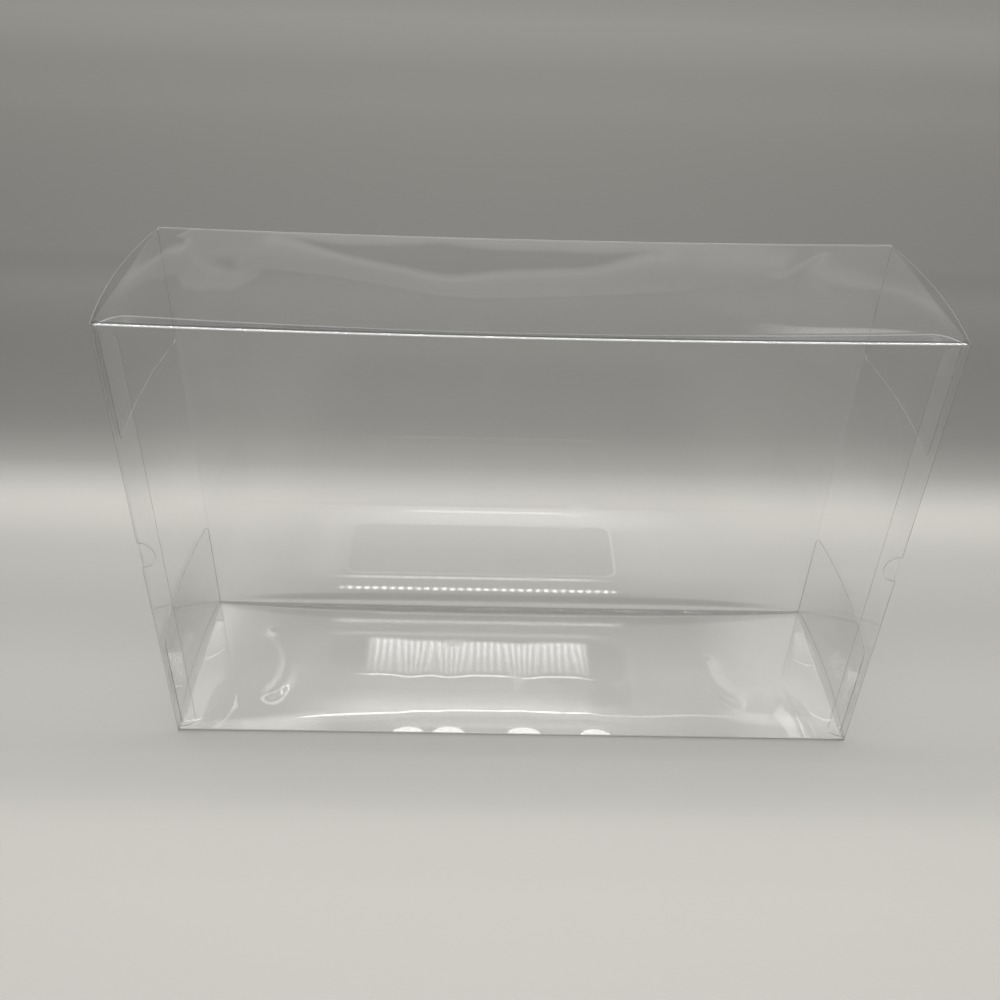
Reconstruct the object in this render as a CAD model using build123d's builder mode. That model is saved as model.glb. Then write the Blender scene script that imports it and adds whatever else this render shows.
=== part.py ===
from build123d import *
from math import sqrt
import os

os.makedirs("parts", exist_ok=True)

# Clear carton that protects a boxed product, cut from one sheet of film, folded and glued.
# X runs along the width, Y from front to back and Z up, from the middle of the base.

# Outside of the folded box, from crease to crease
box_width = 360.0
box_depth = 105.5
box_height = 240.0

# Film and the inner radius of its folds
film = 0.5
fold_inside = 0.3

# Glue flap, turned in from the front panel and stuck under the top panel's front edge
glue_flap = 9.5
glue_flap_inset = 2.0
glue_flap_taper = 9.0
top_edge_setback = 1.2

# Dust flaps at both ends of the top and bottom panels, springing out against the lids
dust_flap = 60.0
dust_flap_root = 3.0
dust_flap_front_gap = 5.0
dust_flap_back_gap = 2.8
dust_flap_corner = 4.0
dust_flap_bow = 3.5

# End lids and the tuck flaps along their front edges
lid_bow = 4.5
lid_end_gap = 0.8
tuck = 10.0
tuck_end_gap = 1.5
tuck_corner = 7.5

# Thumb notches in the front panel's end edges
notch_radius = 7.3

# Clearances between the sleeve and the lids
hinge_gap = 0.15
swing_gap = 0.2
lid_to_flap = 0.3

# Places on the film's middle line
half_film = film / 2
half_width = box_width / 2
half_depth = box_depth / 2
fold_middle = fold_inside + half_film
lap_z = box_height - film - half_film
hinge_x = half_width - half_film
hinge_y = half_depth - half_film
flap_x = half_width - film - lid_to_flap - half_film

# The sleeve's panels end beside the hinge bead, and each flap's fold starts a little before that
panel_end = hinge_x - half_film - hinge_gap
fold_start = flap_x - 2 * fold_middle
flap_front = -half_depth + dust_flap_front_gap
flap_back = half_depth - dust_flap_back_gap
flap_depth = flap_back - flap_front
flap_middle = (flap_front + flap_back) / 2

# A tuck flap is a chord of the circle that its fold swings on, so it clears the front panel
swing_radius = hinge_y + half_depth - film - swing_gap - half_film
lid_front_y = hinge_y - swing_radius
tuck_edge_x = hinge_x - tuck
tuck_edge_y = hinge_y - sqrt(swing_radius**2 - tuck**2)


def corner_scrap(corner, inward, radius):
    """The film cut away at a corner to round it; inward gives the two ways into the film."""
    across, up = corner
    middle = (radius - film) / 2
    with Locations((across + inward[0] * middle, up + inward[1] * middle)):
        Rectangle(radius + film, radius + film)
    with Locations((across + inward[0] * radius, up + inward[1] * radius)):
        Circle(radius, mode=Mode.SUBTRACT)


with BuildPart() as sleeve:
    # Top, back, bottom and front panels are one strip, folded four times and glued at its lap
    with BuildSketch(Plane.YZ.offset(-half_width)):
        with BuildLine():
            FilletPolyline(
                (-half_depth + top_edge_setback, box_height - half_film),
                (half_depth - half_film, box_height - half_film),
                (half_depth - half_film, half_film),
                (-half_depth + half_film, half_film),
                (-half_depth + half_film, lap_z),
                (-half_depth + top_edge_setback, lap_z),
                radius=fold_middle,
            )
        trace(line_width=film)
        with BuildLine():
            Line((-half_depth + top_edge_setback, lap_z), (-half_depth + glue_flap, lap_z))
        trace(line_width=film)
    extrude(amount=box_width)

    # Only the front panel runs on past the lids' edges
    with BuildSketch(Plane.XY):
        with Locations((-half_width, film - half_depth), (half_width, film - half_depth)):
            Rectangle(2 * (half_width - panel_end), box_depth, align=(Align.CENTER, Align.MIN))
    extrude(amount=box_height, mode=Mode.SUBTRACT)

    # The glue flap tapers at its ends, where the lids' tuck flaps pass under the top panel
    with BuildSketch(Plane.XY.offset(box_height - film)):
        for side in (-1, 1):
            root_x = side * (half_width - glue_flap_inset)
            taper_x = side * (half_width - glue_flap_inset - glue_flap_taper)
            with BuildLine():
                Polyline(
                    (root_x, film - half_depth),
                    (taper_x, glue_flap - half_depth),
                    (taper_x, glue_flap - half_depth + film),
                    (side * half_width, glue_flap - half_depth + film),
                    (side * half_width, film - half_depth),
                    close=True,
                )
            make_face()
    extrude(amount=-(film + fold_inside), mode=Mode.SUBTRACT)

    # Thumb notches
    with BuildSketch(Plane.XZ.offset(half_depth)):
        with Locations((-half_width, box_height / 2), (half_width, box_height / 2)):
            Circle(notch_radius)
    extrude(amount=-film, mode=Mode.SUBTRACT)

    # Each dust flap is a fold at the panel's end and a panel that bows out to its free edge
    for panel_z, inward in ((half_film, 1), (box_height - half_film, -1)):
        root_z = panel_z + inward * dust_flap_root
        free_z = panel_z + inward * dust_flap
        for side in (-1, 1):
            with BuildSketch(Plane.XY.offset(panel_z - half_film)):
                with Locations((side * (fold_start + half_width) / 2, flap_middle)):
                    Rectangle(half_width - fold_start, flap_depth)
            extrude(amount=film, mode=Mode.SUBTRACT)
            with BuildSketch(Plane.XZ.offset(-flap_back)):
                with BuildLine():
                    FilletPolyline(
                        (side * fold_start, panel_z),
                        (side * flap_x, panel_z),
                        (side * flap_x, root_z),
                        radius=fold_middle,
                    )
                trace(line_width=film)
            extrude(amount=flap_depth)
            with BuildSketch(Plane.XY.offset(root_z)):
                with BuildLine():
                    Line((side * flap_x, flap_front), (side * flap_x, flap_back))
                trace(line_width=film)
            with BuildSketch(Plane.XY.offset(free_z)):
                with BuildLine():
                    ThreePointArc(
                        (side * flap_x, flap_front),
                        (side * (flap_x + dust_flap_bow), flap_middle),
                        (side * flap_x, flap_back),
                    )
                trace(line_width=film)
            loft(ruled=True)
            with BuildSketch(Plane.YZ.offset(side * (flap_x - film))):
                corner_scrap((flap_front, free_z), (1, -inward), dust_flap_corner)
                corner_scrap((flap_back, free_z), (-1, -inward), dust_flap_corner)
            extrude(amount=side * (dust_flap_bow + film), mode=Mode.SUBTRACT)

sleeve.part.label = "sleeve"
export_step(sleeve.part, "parts/sleeve.step")

for side, lid_name in ((-1, "left_lid"), (1, "right_lid")):
    with BuildPart() as lid:
        # Hinge bead, bowed lid panel, front fold and tuck flap, seen from above
        with BuildSketch(Plane.XY.offset(lid_end_gap)):
            with BuildLine() as outline:
                ThreePointArc(
                    (side * hinge_x, hinge_y),
                    (side * (hinge_x + lid_bow), (hinge_y + lid_front_y) / 2),
                    (side * hinge_x, lid_front_y),
                )
                Line((side * hinge_x, lid_front_y), (side * tuck_edge_x, tuck_edge_y))
                fillet(outline.vertices(), radius=fold_middle)
            trace(line_width=film)
            with Locations((side * hinge_x, hinge_y)):
                Circle(half_film)
        extrude(amount=box_height - 2 * lid_end_gap)

        # The tuck flap is shorter than the lid and has rounded corners
        with BuildSketch(Plane.XZ.offset(half_depth)):
            for end_z, inward in ((lid_end_gap, 1), (box_height - lid_end_gap, -1)):
                with Locations((side * (hinge_x - fold_middle - tuck), end_z)):
                    Rectangle(2 * tuck, 2 * tuck_end_gap)
                tuck_end_z = end_z + inward * tuck_end_gap
                corner_scrap((side * tuck_edge_x, tuck_end_z), (side, inward), tuck_corner)
        extrude(amount=-(half_depth + tuck_edge_y + film), mode=Mode.SUBTRACT)

    lid.part.label = lid_name
    export_step(lid.part, f"parts/{lid_name}.step")
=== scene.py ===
"""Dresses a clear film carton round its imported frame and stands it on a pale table."""

import logging
import math
from dataclasses import dataclass, field
from enum import Enum
from typing import Callable, Iterable

import bmesh
import bpy
from mathutils import Matrix, Vector


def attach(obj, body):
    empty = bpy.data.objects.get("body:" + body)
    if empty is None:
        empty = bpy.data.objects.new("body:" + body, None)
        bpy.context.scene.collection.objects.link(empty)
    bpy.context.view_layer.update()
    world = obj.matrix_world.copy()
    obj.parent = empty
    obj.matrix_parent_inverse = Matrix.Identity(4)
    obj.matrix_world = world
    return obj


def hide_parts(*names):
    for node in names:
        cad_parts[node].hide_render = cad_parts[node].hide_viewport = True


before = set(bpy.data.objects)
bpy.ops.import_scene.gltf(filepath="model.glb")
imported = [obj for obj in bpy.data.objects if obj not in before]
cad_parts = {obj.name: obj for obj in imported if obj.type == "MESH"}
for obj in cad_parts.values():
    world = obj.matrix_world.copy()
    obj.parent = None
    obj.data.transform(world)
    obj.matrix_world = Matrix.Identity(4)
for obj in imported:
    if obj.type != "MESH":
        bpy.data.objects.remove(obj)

LOG = logging.getLogger("film_carton")
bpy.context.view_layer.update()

# Lengths are in metres
MM = 0.001
SAME_PLACE = 0.02 * MM

# The attribute of painted shade at a fold, which also says what is left of the mirror there, and the
# dark tone that it paints
PAINTED_SHADE = "shade"
PAINTED_SHADE_TONE = (0.05, 0.05, 0.05, 1)


class Side(Enum):
    """The carton's two ends, by the sign of X."""

    LEFT = -1
    RIGHT = 1


class Part(Enum):
    """What can be picked on a mesh."""

    VERT = "verts"
    EDGE = "edges"
    FACE = "faces"


class Surface(Enum):
    """The material slots of every piece of film. Each panel's cut edge comes straight after it."""

    FILM = 0
    CUT_EDGE = 1
    CREASE = 2
    CREASE_EDGE = 3
    GLUED = 4
    GLUED_EDGE = 5
    # Painted shade: the front foot's crease and its ends are dark, a painted shade line where the film
    # meets the table
    FOOT_CREASE = 6
    FOOT_EDGE = 7
    HINGE = 8
    HINGE_EDGE = 9


def at(value: float, target: float) -> bool:
    """True if two lengths are the same."""
    return abs(value - target) < SAME_PLACE


def between(value: float, low: float, high: float) -> bool:
    """True if a length lies from low to high, both included."""
    return low - SAME_PLACE < value < high + SAME_PLACE


def swell(share: float) -> float:
    """A smooth bulge: 1 where share is 0, falling to 0 where it is 1 or more either way."""
    return (1 - share * share) ** 2 if abs(share) < 1 else 0.0


def smooth_line(points: tuple[tuple[float, float], ...], steps: int = 8) -> list[Vector]:
    """Runs a smooth line through points.

    Args:
        points: The points, in the plane of a panel.
        steps: How many pieces each span is cut into.

    Returns:
        The line's own points.
    """
    ends = [Vector(point) for point in (points[0], *points, points[-1])]
    line = []
    for before, here, there, after in zip(ends, ends[1:], ends[2:], ends[3:]):
        for step in range(steps):
            t = step / steps
            line.append(
                0.5
                * (
                    2 * here
                    + (there - before) * t
                    + (2 * before - 5 * here + 4 * there - after) * t**2
                    + (3 * here - before - 3 * there + after) * t**3
                )
            )
    line.append(ends[-1])
    return line


def nearest(line: list[Vector], place: Vector) -> tuple[float, float]:
    """How far a place is from a line.

    Args:
        line: The line's points.
        place: The place, in the same plane.

    Returns:
        The distance, and how far along the line its nearest point is, from 0 to 1.
    """
    best, share = math.inf, 0.0
    for count, (here, there) in enumerate(zip(line, line[1:])):
        span = there - here
        along = max(0.0, min(1.0, (place - here).dot(span) / span.length_squared))
        distance = (here + span * along - place).length
        if distance < best:
            best, share = distance, (count + along) / (len(line) - 1)
    return best, share


@dataclass(frozen=True)
class Ridge:
    """A soft ridge or furrow that a buckle leaves across a panel.

    Attributes:
        points: Where it runs, in the panel's plane.
        height: How high it stands, below zero for a furrow.
        width: How far its sides reach.
        fade: The share of its length over which each end fades.
    """

    points: tuple[tuple[float, float], ...]
    height: float
    width: float
    fade: float = 0.12

    def rise(self, line: list[Vector], place: Vector) -> float:
        """How high it stands at a place, given its own smooth line."""
        distance, along = nearest(line, place)
        if distance > 3 * self.width:
            return 0.0
        ends = ease(along, 0.0, self.fade) * (1 - ease(along, 1 - self.fade, 1.0))
        return self.height * math.exp(-((distance / self.width) ** 2)) * ends


def ease(value: float, low: float, high: float) -> float:
    """A smooth step from 0 at low to 1 at high."""
    share = min(max((value - low) / (high - low), 0.0), 1.0)
    return share * share * (3 - 2 * share)


def clear_selection() -> None:
    """Leaves edit mode and selects nothing, so no operator reaches the frame's own nodes."""
    if bpy.context.object and bpy.context.object.mode != "OBJECT":
        bpy.ops.object.mode_set(mode="OBJECT")
    bpy.ops.object.select_all(action="DESELECT")


@dataclass
class FilmSheet:
    """A sheet of film, folded up on its middle surface from one flat panel.

    Attributes:
        name: The piece's name.
        thickness: How thick the film is.
        fold_radius: The radius of its folds, on the middle surface.
        spacing: The mesh's spacing on the panels.
    """

    name: str
    thickness: float = 0.5 * MM
    fold_radius: float = 0.55 * MM
    spacing: float = 2.7 * MM
    shape: bpy.types.Object = field(init=False)

    def lay(self, low: Vector, high: Vector) -> None:
        """Adds the first panel.

        Args:
            low: Its lowest corner.
            high: Its highest corner, level with the lowest in X or in Z.
        """
        clear_selection()
        size = high - low
        upright = at(size.x, 0)
        bpy.ops.mesh.primitive_plane_add(size=1, rotation=(0, math.pi / 2 if upright else 0, 0))
        self.shape = bpy.context.object
        self.shape.name = self.shape.data.name = self.name
        bpy.ops.object.transform_apply(location=True, rotation=True, scale=True)
        bpy.ops.object.mode_set(mode="EDIT")
        bpy.ops.mesh.select_all(action="SELECT")
        bpy.ops.transform.resize(value=(size.x or 1, size.y, size.z or 1))
        bpy.ops.transform.translate(value=(low + high) / 2)

    def pick(self, part: Part, inside: Callable[[Vector], bool], inner: bool = False) -> int:
        """Selects what lies wholly in a place, in edit mode.

        Args:
            part: Whether corners, edges or faces are picked.
            inside: Says of a corner's place whether it is in.
            inner: Whether edges on the sheet's outline are left out.

        Returns:
            How many were picked.
        """
        bpy.ops.mesh.select_mode(type=part.name)
        bpy.ops.mesh.select_all(action="DESELECT")
        mesh = bmesh.from_edit_mesh(self.shape.data)
        picked = 0
        for piece in getattr(mesh, part.value):
            corners = [piece] if part is Part.VERT else piece.verts
            if all(inside(corner.co) for corner in corners):
                if inner and piece.is_boundary:
                    continue
                piece.select_set(True)
                picked += 1
        mesh.select_flush_mode()
        bmesh.update_edit_mesh(self.shape.data)
        return picked

    def fold_out(self, inside: Callable[[Vector], bool], reach: tuple[float, float, float]) -> None:
        """Draws a new panel out of the edges in a place.

        Args:
            inside: Says of a corner's place whether it is in.
            reach: How far and which way the panel goes.
        """
        self.pick(Part.EDGE, inside)
        bpy.ops.mesh.extrude_region_move(TRANSFORM_OT_translate={"value": reach})

    def cut(self, axis: int, places: Iterable[float]) -> None:
        """Cuts the sheet across by planes.

        Args:
            axis: The axis that the planes stand across, 0 to 2.
            places: Where they stand on it.
        """
        for place in places:
            bpy.ops.mesh.select_all(action="SELECT")
            point, normal = [0.0] * 3, [0.0] * 3
            point[axis], normal[axis] = place, 1.0
            bpy.ops.mesh.bisect(plane_co=point, plane_no=normal)

    def cut_grid(self, axis: int, low: float, high: float, coarse: float = 1.0) -> None:
        """Cuts a stretch of the sheet into even strips, coarse times as wide as the spacing."""
        count = max(2, round((high - low) / (self.spacing * coarse)))
        self.cut(axis, [low + (high - low) * step / count for step in range(count + 1)])

    def round_corners(self, inside: Callable[[Vector], bool], radius: float) -> None:
        """Rounds the outline's corners in a place to a radius."""
        self.pick(Part.VERT, inside)
        bpy.ops.mesh.bevel(
            offset=radius, segments=6, profile=0.5, affect="VERTICES", clamp_overlap=False
        )

    def crease(
        self, inside: Callable[[Vector], bool], surface: Surface = Surface.CREASE
    ) -> None:
        """Rounds the folds in a place and gives them a creased film's finish."""
        self.pick(Part.EDGE, inside, inner=True)
        bpy.ops.mesh.bevel(
            offset=self.fold_radius,
            segments=4,
            profile=0.5,
            affect="EDGES",
            clamp_overlap=False,
            material=surface.value,
        )

    def mark(self, inside: Callable[[Vector], bool], surface: Surface) -> None:
        """Gives the faces in a place another of the sheet's finishes."""
        self.pick(Part.FACE, inside)
        self.shape.active_material_index = surface.value
        bpy.ops.object.material_slot_assign()

    def dress(self, materials: dict[Surface, bpy.types.Material]) -> None:
        """Puts the finishes in their slots."""
        for surface in Surface:
            self.shape.data.materials.append(materials[surface])

    def shade(self, amount: Callable[[Vector], float]) -> None:
        """Notes the painted shade at every corner, from 0 to 1."""
        clear_selection()
        mesh = self.shape.data
        noted = mesh.attributes.new(PAINTED_SHADE, "FLOAT", "POINT")
        for corner, value in zip(mesh.vertices, noted.data):
            value.value = amount(corner.co)

    def bow(self, offset: Callable[[Vector], Vector]) -> None:
        """Moves every corner by what offset says of its place, as a hand bends the film."""
        clear_selection()
        for corner in self.shape.data.vertices:
            corner.co += offset(corner.co)

    def thicken(self) -> None:
        """Gives the film its thickness and its cut edges their finish."""
        clear_selection()
        self.shape.select_set(True)
        bpy.context.view_layer.objects.active = self.shape
        bpy.ops.object.mode_set(mode="EDIT")
        bpy.ops.mesh.select_all(action="SELECT")
        bpy.ops.mesh.remove_doubles(threshold=0.001 * MM)
        bpy.ops.mesh.normals_make_consistent(inside=False)
        bpy.ops.object.mode_set(mode="OBJECT")
        wall = self.shape.modifiers.new("film", "SOLIDIFY")
        wall.thickness = self.thickness
        wall.offset = 0
        wall.use_even_offset = True
        wall.material_offset_rim = 1
        bpy.ops.object.modifier_apply(modifier=wall.name)

    def notch(self, centre: Vector, radius: float) -> None:
        """Cuts a round notch through a panel that faces front.

        Args:
            centre: Where the notch's middle is.
            radius: Its radius.
        """
        clear_selection()
        bpy.ops.mesh.primitive_cylinder_add(
            vertices=40, radius=radius, depth=8 * MM, location=centre, rotation=(math.pi / 2, 0, 0)
        )
        punch = bpy.context.object
        bpy.context.view_layer.objects.active = self.shape
        cut = self.shape.modifiers.new("notch", "BOOLEAN")
        cut.operation = "DIFFERENCE"
        cut.object = punch
        bpy.ops.object.modifier_apply(modifier=cut.name)
        bpy.data.objects.remove(punch)
        for face in self.shape.data.polygons:
            from_middle = (face.center - centre).length
            if abs(face.normal.y) < 0.5 and from_middle < radius + self.thickness:
                face.material_index = Surface.CUT_EDGE.value

    def finish(self) -> None:
        """Smooths the shading but keeps the cut edges crisp."""
        clear_selection()
        self.shape.select_set(True)
        bpy.context.view_layer.objects.active = self.shape
        bpy.ops.object.shade_smooth_by_angle(angle=math.radians(50))
        LOG.info("%s: %d faces", self.name, len(self.shape.data.polygons))


# The buckle near the top panel's right end
TOP_RIDGES = (
    Ridge(
        ((0.1472, 0.0492), (0.1314, 0.0309), (0.1187, 0.0127), (0.1155, 0.0069)),
        0.18 * MM,
        3.2 * MM,
    ),
    Ridge(
        ((0.1155, 0.0069), (0.1303, -0.0053), (0.1370, -0.0184), (0.1408, -0.0311)),
        0.10 * MM,
        3.2 * MM,
        0.45,
    ),
)

# The top panel's buckles behind its glued lap, in millimetres and thousandths: at each place
# along the width, how far back the slope changes and what it is there
TOP_COLUMNS = (
    (-160, ((41.3, 31.5), (44.8, 24.5), (46.7, 24.0), (48.6, 24.4), (50.6, 24.9), (52.5, 25.3))),
    (-155, ((26.6, 20.9), (30.1, 20.7), (35.7, 22.1), (41.3, 23.1), (46.9, 24.1), (52.5, 25.1))),
    (-146, ((13.2, 19.8), (16.7, 16.7), (25.6, 17.8), (34.6, 20.1), (43.5, 22.4), (52.5, 24.6))),
    (-133, ((5.9, 21.1), (9.4, 15.4), (20.2, 17.4), (30.9, 19.7), (41.7, 21.8), (52.5, 23.9))),
    (-120, ((5.0, 20.3), (8.5, 13.5), (49.4, 13.5), (49.8, 12.6), (50.2, 13.7), (52.5, 17.2))),
    (-110, ((3.5, 18.8), (7.0, 11.9), (43.5, 10.9), (44.9, 8.3), (46.2, 11.7), (52.5, 16.8))),
    (-100, ((1.3, 17.4), (4.8, 10.5), (36.1, 8.0), (39.4, 4.4), (42.7, 10.2), (52.5, 16.5))),
    (-88, ((-1.4, 15.9), (2.1, 8.8), (28.4, 4.9), (34.4, 0.7), (40.4, 9.1), (52.5, 16.1))),
    (-77, ((-5.3, 14.2), (-1.8, 6.8), (23.0, 2.7), (32.2, -1.5), (41.4, 9.1), (52.5, 15.9))),
    (-66, ((-9.3, 12.1), (-5.8, 4.6), (17.7, 0.3), (30.0, -3.5), (42.3, 9.3), (52.5, 15.7))),
    (-55, ((-13.5, 10.1), (-10.0, 2.5), (13.4, -1.5), (28.3, -4.9), (43.2, 9.4), (52.5, 15.5))),
    (-46, ((-17.5, 8.3), (-14.0, 0.5), (8.0, -3.8), (27.2, -5.8), (46.4, 10.5), (52.5, 15.4))),
    (-40, ((-19.9, 6.4), (-16.4, -1.1), (6.4, -4.8), (26.8, -6.3), (47.3, 10.8), (52.5, 15.4))),
    (-33, ((-20.4, 4.7), (-16.9, -1.7), (5.6, -5.2), (25.3, -7.0), (44.9, 9.9), (52.5, 15.3))),
    (-25, ((-20.9, 4.3), (-17.4, -1.9), (8.4, -4.1), (25.3, -6.9), (42.2, 8.9), (52.5, 15.3))),
    (-16, ((-20.3, 4.8), (-16.8, -1.6), (12.8, -2.3), (26.6, -6.2), (40.3, 8.2), (52.5, 15.4))),
    (-3, ((-18.8, 5.9), (-15.3, -0.7), (14.9, -1.3), (27.2, -5.3), (39.5, 8.0), (52.5, 15.4))),
    (14, ((-16.6, 7.6), (-13.1, 0.7), (17.0, -0.1), (28.8, -3.1), (40.6, 8.6), (52.5, 15.7))),
    (26, ((-15.0, 9.2), (-11.5, 2.1), (18.5, 0.9), (28.6, -1.5), (38.7, 8.2), (52.5, 15.9))),
    (35, ((-13.6, 10.6), (-10.1, 3.4), (22.5, 2.7), (30.4, 0.5), (38.4, 8.3), (52.5, 16.1))),
    (46, ((-12.0, 11.9), (-8.5, 4.8), (31.0, 6.2), (35.4, 4.3), (39.8, 9.1), (52.5, 16.4))),
    (58, ((-10.2, 13.6), (-6.7, 5.9), (41.1, 10.1), (41.5, 9.3), (41.9, 10.4), (52.5, 16.8))),
    (75, ((-5.1, 16.5), (-1.6, 8.7), (12.0, 9.5), (25.5, 10.8), (39.0, 13.7), (52.5, 16.6))),
    (92, ((0.6, 18.2), (4.1, 11.2), (16.2, 11.4), (28.3, 12.3), (40.4, 14.9), (52.5, 17.4))),
)

# Half-moon dents that packing and unpacking leave in the bottom panel
FOOT_DENTS = (
    Ridge(
        ((-0.145, 0.0292), (-0.1345, 0.0156), (-0.1288, 0.0015), (-0.1303, -0.0169), (-0.1392, -0.0302)),
        0.42 * MM,
        4.6 * MM,
        0.15,
    ),
    Ridge(
        ((0.1140, 0.0115), (0.1153, -0.0090), (0.1227, -0.0190), (0.1314, -0.0242)),
        0.42 * MM,
        4.6 * MM,
        0.15,
    ),
    Ridge(((-0.1672, 0.0349), (-0.1518, 0.0010), (-0.1414, -0.0302)), -0.03 * MM, 4.0 * MM, 0.4),
)


@dataclass(frozen=True)
class FootBand:
    """A band of painted shade round the back foot's bend, about as dark all over.

    Attributes:
        darkest: How much painted shade it has there, from 0 to 1.
        rise: Where the band comes in, in turns of the bend.
        fall: Where it goes out.
    """

    darkest: float
    rise: tuple[float, float]
    fall: tuple[float, float]

    def strength(self, turn: float) -> float:
        """How much painted shade it gives at a place round the bend."""
        return self.darkest * ease(turn, *self.rise) * (1 - ease(turn, *self.fall))


# Painted shade round the back foot's bend: two dark bands with a clearer one between, and a faint one
# below
FOOT_BANDS = (
    FootBand(0.45, (-0.45, -0.05), (0.12, 0.24)),
    FootBand(0.14, (0.12, 0.24), (0.50, 0.58)),
    FootBand(0.64, (0.50, 0.58), (0.78, 0.98)),
    FootBand(0.13, (0.78, 0.98), (1.3, 1.55)),
)

# How high the bottom panel waves behind its front edge, in millimetres along the width
FRONT_WAVE = (
    (-180, -0.08),
    (-162, -0.08),
    (-148, -0.06),
    (-132, -0.009),
    (-116, 0.03),
    (-103, 0.058),
    (-89, 0.077),
    (-62, 0.112),
    (-40, 0.142),
    (-21, 0.158),
    (4, 0.158),
    (26, 0.142),
    (43, 0.130),
    (59, 0.108),
    (73, 0.100),
    (87, 0.116),
    (104, 0.135),
    (121, 0.122),
    (137, 0.087),
    (159, 0.046),
    (180, 0.0),
)


@dataclass
class Sleeve:
    """The carton's tube: top, back, bottom and front panels, glue flap and four dust flaps."""

    half_width: float = 180 * MM
    panel_end: float = 179.35 * MM
    back: float = 52.5 * MM
    front: float = -52.5 * MM
    base: float = 0.25 * MM
    top: float = 239.75 * MM
    lap: float = 239.2 * MM
    top_front: float = -51.55 * MM
    glue_edge: float = -43.25 * MM
    glue_root: float = 178 * MM
    glue_taper: float = 7 * MM
    glue_corner: float = 5 * MM
    flap_x: float = 178.95 * MM
    flap_front: float = -47.75 * MM
    flap_back: float = 49.95 * MM
    flap_root: float = 3 * MM
    flap_reach: float = 60 * MM
    flap_corner: float = 4 * MM
    flap_bow: float = 3.5 * MM
    notch_radius: float = 7.3 * MM
    sag_depth: float = 1.8 * MM
    dip_depth: float = 2.4 * MM
    dip_reach: float = 172 * MM
    dip_fades: tuple[float, float] = (14 * MM, 70 * MM)
    ridge_fades: tuple[float, float] = (8 * MM, 6 * MM)
    fine_rise: float = 0.7 * MM
    fine_run: float = 1 * MM
    fine_rows: int = 13
    foot_rows: int = 15
    foot_rise: float = 6 * MM
    foot_run: float = 9 * MM
    foot_bulge: float = 0.5
    foot_taper: float = 0.7
    wave_reach: float = 26 * MM
    wave_fade: tuple[float, float] = (50 * MM, 100 * MM)
    lobe_height: float = 0.07 * MM
    lobe_reach: float = 3 * MM
    lobe_fade: tuple[float, float] = (20 * MM, 80 * MM)
    front_lobes: tuple[tuple[float, float], ...] = (
        (-57 * MM, 12 * MM),
        (-35 * MM, 12 * MM),
        (6 * MM, 13 * MM),
        (45 * MM, 11.5 * MM),
    )

    def build(self, materials: dict[Surface, bpy.types.Material]) -> bpy.types.Object:
        """Folds the tube up and dresses it.

        Args:
            materials: The finish of each kind of surface.

        Returns:
            The finished piece.
        """
        sheet = FilmSheet("sleeve_film")
        sheet.lay(
            Vector((-self.panel_end, self.top_front, self.top)),
            Vector((self.panel_end, self.back, self.top)),
        )
        sheet.dress(materials)
        self.wrap(sheet)
        self.add_glue_flap(sheet)
        self.add_dust_flaps(sheet)
        self.crease(sheet)
        sheet.cut_grid(0, -self.flap_x + 4 * MM, self.flap_x - 4 * MM)
        sheet.cut_grid(1, self.flap_front + 3 * MM, self.flap_back - 3 * MM)
        sheet.cut_grid(2, self.base + 9 * MM, self.top - 3 * MM, coarse=1.6)
        sheet.cut(2, [self.base + self.fine_rise * step for step in range(1, self.fine_rows)])
        sheet.cut(1, [self.back - self.fine_run * step for step in range(1, self.foot_rows)])
        sheet.cut(1, [self.front + self.fine_run * step for step in range(1, self.fine_rows)])
        for x in (-self.panel_end, self.panel_end):
            sheet.mark(lambda co: abs(co.x - x) < 1 * MM and at(co.y, self.back), Surface.HINGE)
        # Paints shade into the back foot's bend, darkening the film and taking away its mirror there
        sheet.shade(self.foot_painted_shade)
        ridges = [(ridge, smooth_line(ridge.points)) for ridge in TOP_RIDGES]
        dents = [(ridge, smooth_line(ridge.points)) for ridge in FOOT_DENTS]
        sheet.bow(
            lambda co: self.bend(co)
            + self.buckle(co, ridges)
            + self.dip(co)
            + self.ruffle(co, dents)
            + self.round_foot(co)
        )
        sheet.thicken()
        for side in Side:
            sheet.notch(
                Vector((side.value * self.half_width, self.front, self.top / 2)),
                self.notch_radius,
            )
        sheet.finish()
        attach(sheet.shape, "sleeve")
        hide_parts("sleeve")
        return sheet.shape

    def wrap(self, sheet: FilmSheet) -> None:
        """Folds the strip down the back, under the carton and up its front."""
        rise = self.top - self.base
        sheet.fold_out(lambda co: at(co.y, self.back) and at(co.z, self.top), (0, 0, -rise))
        sheet.fold_out(
            lambda co: at(co.y, self.back) and at(co.z, self.base),
            (0, self.front - self.back, 0),
        )
        sheet.fold_out(
            lambda co: at(co.y, self.front) and at(co.z, self.base),
            (0, 0, self.lap - self.base),
        )
        for side in Side:
            sheet.fold_out(
                lambda co: at(co.y, self.front) and at(co.x, side.value * self.panel_end),
                (side.value * (self.half_width - self.panel_end), 0, 0),
            )

    def add_glue_flap(self, sheet: FilmSheet) -> None:
        """Turns the tapered glue flap in from the front panel's top edge."""
        sheet.cut(0, (-self.glue_root, self.glue_root))
        sheet.fold_out(
            lambda co: at(co.y, self.front)
            and at(co.z, self.lap)
            and between(abs(co.x), 0, self.glue_root),
            (0, self.glue_edge - self.front, 0),
        )
        for side in Side:
            sheet.pick(
                Part.VERT,
                lambda co: at(co.y, self.glue_edge)
                and at(co.z, self.lap)
                and at(co.x, side.value * self.glue_root),
            )
            bpy.ops.transform.translate(value=(-side.value * self.glue_taper, 0, 0))
        sheet.round_corners(
            lambda co: at(co.y, self.glue_edge)
            and at(co.z, self.lap)
            and at(abs(co.x), self.glue_root - self.glue_taper),
            self.glue_corner,
        )
        sheet.mark(
            lambda co: at(co.z, self.lap) and between(co.y, self.front, self.glue_edge),
            Surface.GLUED,
        )

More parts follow.
